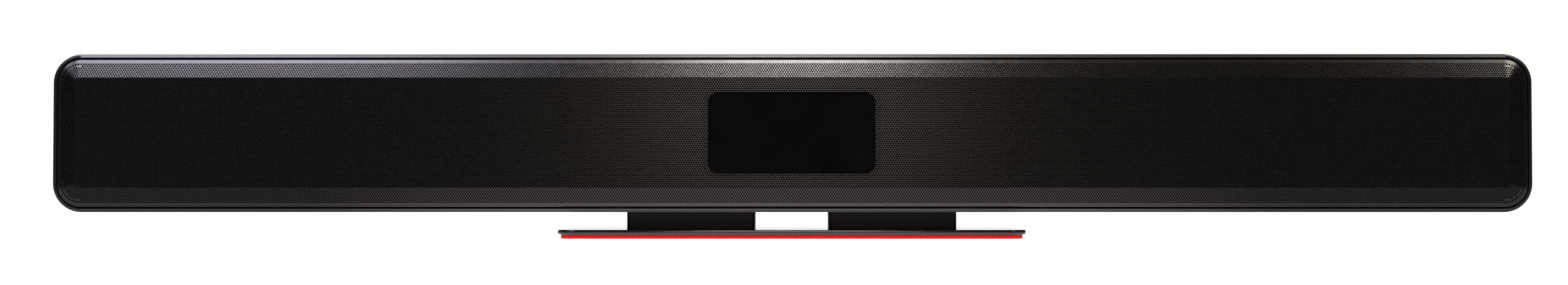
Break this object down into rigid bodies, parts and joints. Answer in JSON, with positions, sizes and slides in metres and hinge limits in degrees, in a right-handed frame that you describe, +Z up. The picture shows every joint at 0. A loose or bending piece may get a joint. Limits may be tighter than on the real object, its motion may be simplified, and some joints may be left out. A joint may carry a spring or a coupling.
{
  "type": "soundbar",
  "caption": "Wide meeting-room soundbar: pillowed perforated grille, dark camera window, rear port recess, low table stand on two posts with a rubber pad.",
  "frame": {"origin": "bottom centre: middle of the underside of the stand's pad", "axes": "+X along the bar to the viewer's right seen from the front, -Y out of the front grille, +Z up"},
  "size_m": [0.911, 0.1, 0.1135],
  "materials": {
    "pad_rubber": "matt red rubber, slightly textured",
    "stand_steel": "black powder coat, semi-gloss",
    "post_paint": "black powder coat, matt",
    "housing_paint": "charcoal powder coat with fine metallic fleck, satin",
    "grille_paint": "charcoal powder coat with fine metallic fleck, satin",
    "cover_plastic": "black, fine moulded texture",
    "inner_plastic": "black, moulded",
    "cloth": "thin black woven acoustic cloth",
    "dark_glass": "opaque black tinted window, polished",
    "foam": "black closed-cell foam",
    "black_screw": "black oxide steel",
    "plain_screw": "zinc-plated steel",
    "brass": "plain brass",
    "lens_black": "flat black",
    "lens_glass": "coated glass",
    "circuit_board": "green solder mask",
    "component": "moulded component bodies",
    "port_metal": "nickel-plated shells",
    "bracket_steel": "plain pressed steel",
    "panel_steel": "black painted steel",
    "button_plastic": "dark grey",
    "sink_aluminium": "anodised",
    "lead": "soft insulated wire",
    "basket_steel": "black painted steel",
    "surround_rubber": "soft black rubber",
    "cone_paper": "pressed paper pulp",
    "spider_cloth": "resin-treated cotton",
    "coil_copper": "varnished copper wire",
    "ferrite": "ground ferrite",
    "motor_steel": "zinc-plated steel"
  },
  "bodies": {
    "bar": {"base_pad": "pad_rubber", "base_plate": "stand_steel", "left_post": "post_paint", "right_post": "post_paint", "stand_screws": "black_screw", "housing": "housing_paint", "rear_cover": "cover_plastic", "rear_cover_screws": "black_screw", "threaded_inserts": "brass", "front_grille": "grille_paint", "acoustic_cloth": "cloth", "camera_window": "dark_glass", "window_gasket": "foam", "front_baffle": "inner_plastic", "baffle_screws": "plain_screw", "camera_shroud": "lens_black", "camera_bracket": "bracket_steel", "camera_board": "circuit_board", "camera_barrel": "lens_black", "camera_lens": "lens_glass", "sensor_board": "component", "main_board": "circuit_board", "main_board_chips": "component", "network_port": "port_metal", "video_ports": "port_metal", "usb_ports": "port_metal", "power_jack": "component", "port_panel": "panel_steel", "amplifier_board": "circuit_board", "amplifier_parts": "component", "heat_sink": "sink_aluminium", "board_screws": "plain_screw", "left_microphone_board": "circuit_board", "right_microphone_board": "circuit_board", "left_enclosure": "inner_plastic", "right_enclosure": "inner_plastic", "speaker_leads": "lead", "left_driver_basket": "basket_steel", "left_driver_surround": "surround_rubber", "left_driver_spider": "spider_cloth", "left_driver_top_plate": "motor_steel", "left_driver_magnet": "ferrite", "left_driver_yoke": "motor_steel", "right_driver_basket": "basket_steel", "right_driver_surround": "surround_rubber", "right_driver_spider": "spider_cloth", "right_driver_top_plate": "motor_steel", "right_driver_magnet": "ferrite", "right_driver_yoke": "motor_steel", "left_radiator_surround": "surround_rubber", "right_radiator_surround": "surround_rubber"},
    "reset_button": {"reset_button": "button_plastic"},
    "left_driver_cone": {"left_driver_cone": "cone_paper", "left_driver_dust_cap": "cone_paper", "left_driver_voice_coil": "coil_copper"},
    "right_driver_cone": {"right_driver_cone": "cone_paper", "right_driver_dust_cap": "cone_paper", "right_driver_voice_coil": "coil_copper"},
    "left_radiator": {"left_radiator_plate": "cone_paper"},
    "right_radiator": {"right_radiator_plate": "cone_paper"}
  },
  "joints": [
    {"name": "reset_press", "type": "slide", "parent": "bar", "child": "reset_button", "axis": [0, -1, 0], "range_m": [0, 0.0008], "stiffness_N_per_m": 1200, "springref_m": -0.0004},
    {"name": "left_cone_travel", "type": "slide", "parent": "bar", "child": "left_driver_cone", "axis": [0, -1, 0], "range_m": [-0.0025, 0.0025], "stiffness_N_per_m": 1000, "deforming": ["left_driver_surround", "left_driver_spider"]},
    {"name": "right_cone_travel", "type": "slide", "parent": "bar", "child": "right_driver_cone", "axis": [0, -1, 0], "range_m": [-0.0025, 0.0025], "stiffness_N_per_m": 1000, "deforming": ["right_driver_surround", "right_driver_spider"]},
    {"name": "left_radiator_travel", "type": "slide", "parent": "bar", "child": "left_radiator", "axis": [0, -1, 0], "range_m": [-0.003, 0.003], "stiffness_N_per_m": 700, "deforming": ["left_radiator_surround"]},
    {"name": "right_radiator_travel", "type": "slide", "parent": "bar", "child": "right_radiator", "axis": [0, -1, 0], "range_m": [-0.003, 0.003], "stiffness_N_per_m": 700, "deforming": ["right_radiator_surround"]}
  ]
}
